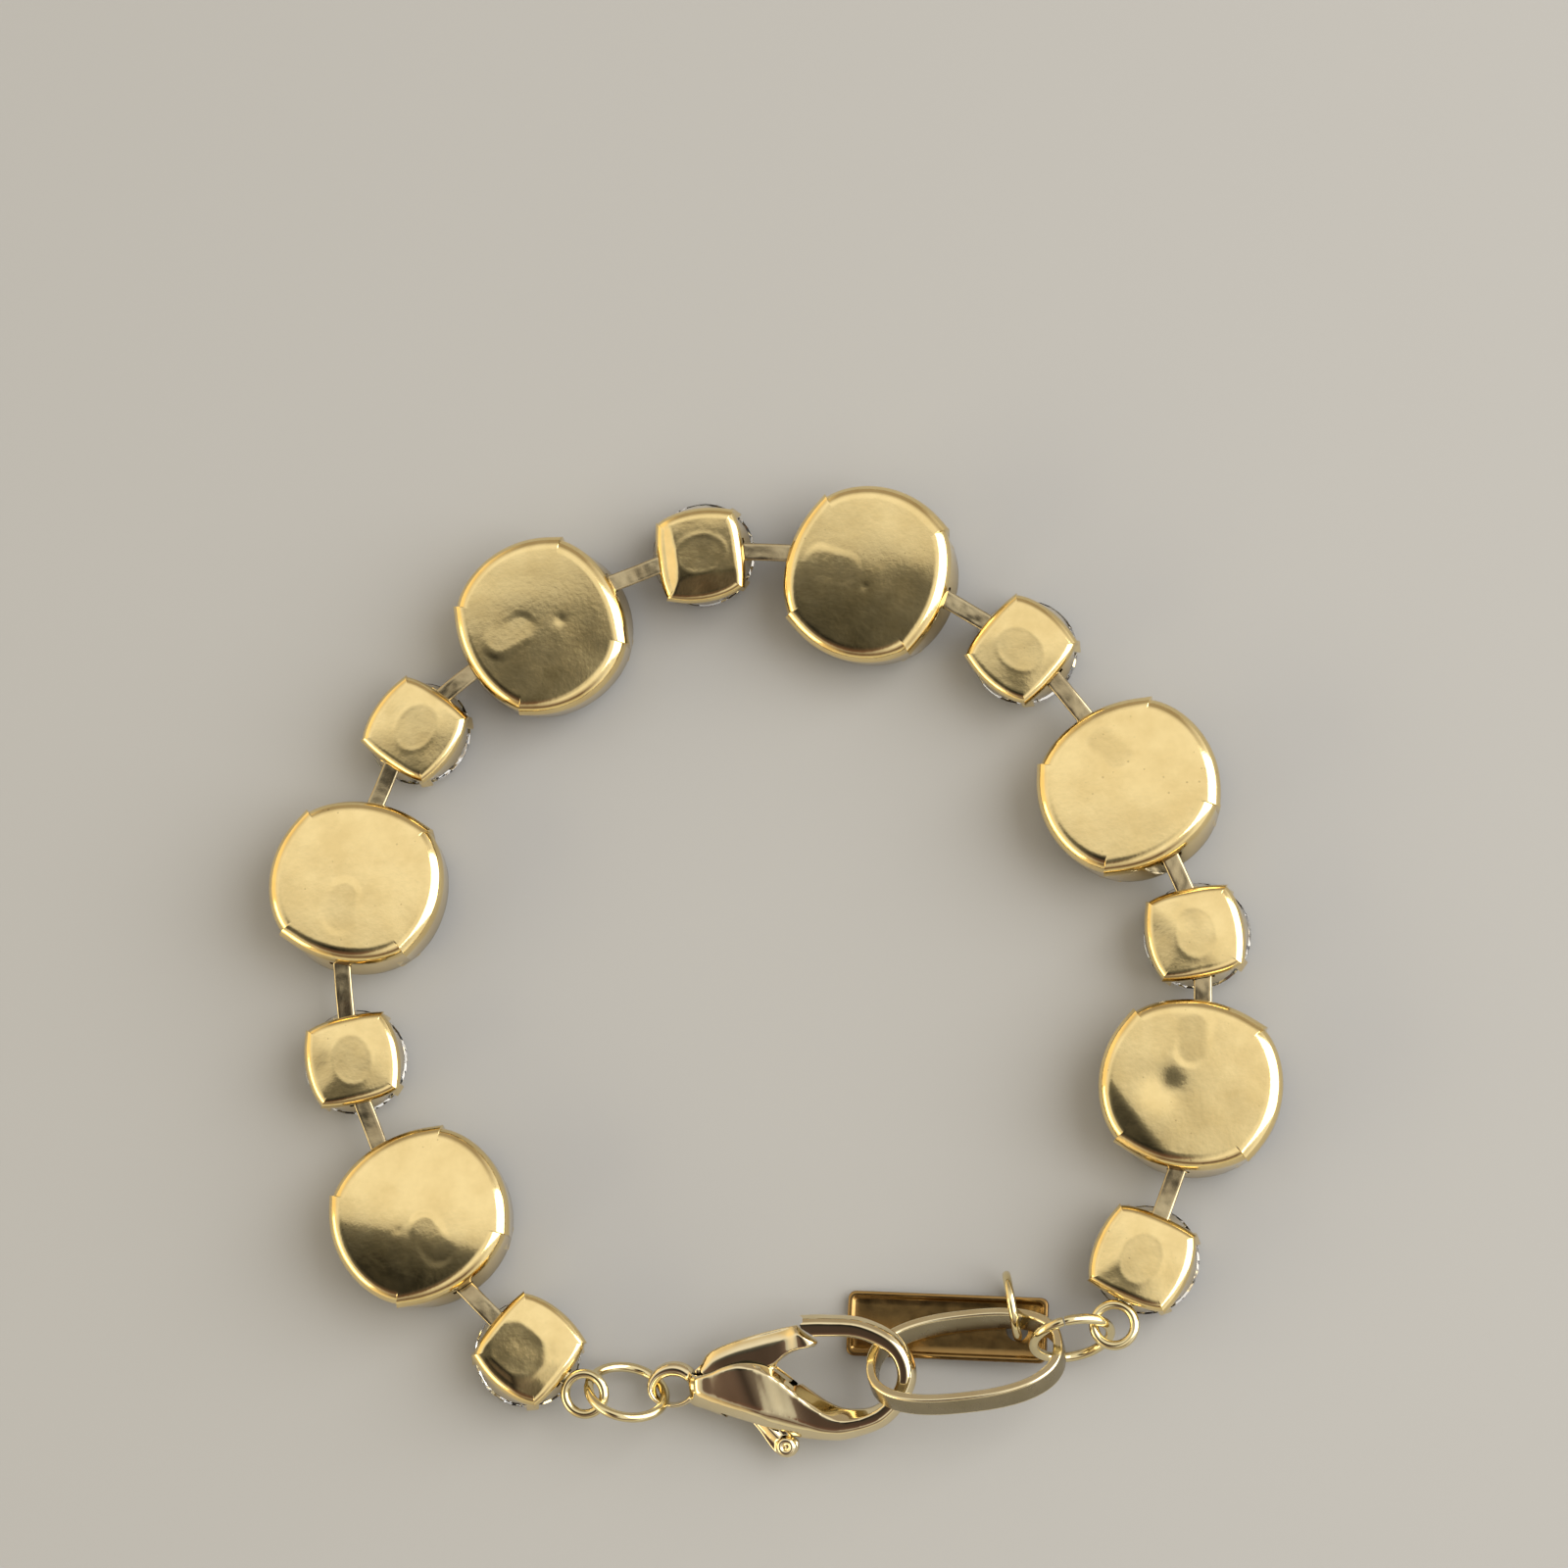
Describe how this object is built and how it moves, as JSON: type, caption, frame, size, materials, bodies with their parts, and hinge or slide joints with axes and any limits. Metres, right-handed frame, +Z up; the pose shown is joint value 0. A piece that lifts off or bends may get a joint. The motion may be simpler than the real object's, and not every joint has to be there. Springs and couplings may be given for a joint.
{
  "type": "tennis bracelet",
  "caption": "Cup-chain bracelet of alternating large and small crystals in gold-coloured settings, closed by a lobster clasp on a long link, lying stones down.",
  "frame": {"origin": "bottom centre of the bracelet's box, on the surface that it lies on", "axes": "+Z up, out of the settings' metal backs; +Y from the clasp across the loop to the far settings; +X along the clasp, from its eye to its hook"},
  "size_m": [0.068, 0.0648, 0.0068],
  "materials": {
    "cup_metal": "pressed, satin to bright, pale gold plate with fine marks",
    "crystal": "clear, faceted, polished",
    "strip_metal": "brushed gold plate",
    "ring_metal": "polished gold plate",
    "link_metal": "polished rims, brushed faces, gold plate",
    "tag_metal": "satin gold plate, darker inside its rim",
    "clasp_metal": "mirror-polished gold plate"
  },
  "bodies": {
    "bracelet": {"large_cup_1": "cup_metal", "large_cup_2": "cup_metal", "large_cup_3": "cup_metal", "large_cup_4": "cup_metal", "large_cup_5": "cup_metal", "large_cup_6": "cup_metal", "small_cup_1": "cup_metal", "small_cup_2": "cup_metal", "small_cup_3": "cup_metal", "small_cup_4": "cup_metal", "small_cup_5": "cup_metal", "small_cup_6": "cup_metal", "small_cup_7": "cup_metal", "large_stone_1": "crystal", "large_stone_2": "crystal", "large_stone_3": "crystal", "large_stone_4": "crystal", "large_stone_5": "crystal", "large_stone_6": "crystal", "small_stone_1": "crystal", "small_stone_2": "crystal", "small_stone_3": "crystal", "small_stone_4": "crystal", "small_stone_5": "crystal", "small_stone_6": "crystal", "small_stone_7": "crystal", "connector_1": "strip_metal", "connector_2": "strip_metal", "connector_3": "strip_metal", "connector_4": "strip_metal", "connector_5": "strip_metal", "connector_6": "strip_metal", "connector_7": "strip_metal", "connector_8": "strip_metal", "connector_9": "strip_metal", "connector_10": "strip_metal", "connector_11": "strip_metal", "connector_12": "strip_metal", "end_ring_left": "strip_metal", "end_ring_right": "strip_metal", "jump_ring_left": "ring_metal", "jump_ring_right": "ring_metal", "tag_ring": "ring_metal", "tag": "tag_metal", "oval_link": "link_metal", "clasp_body": "clasp_metal", "clasp_pin": "clasp_metal"},
    "lever": {"clasp_lever": "clasp_metal"}
  },
  "joints": [
    {"name": "lever_hinge", "type": "hinge", "parent": "bracelet", "child": "lever", "pos_m": [-0.00358, -0.02777, 0.00243], "axis": [0.0856, 0.1908, -0.9779], "range_deg": [0, 20], "stiffness_Nm_per_rad": 0.01, "springref_deg": -8.59}
  ]
}
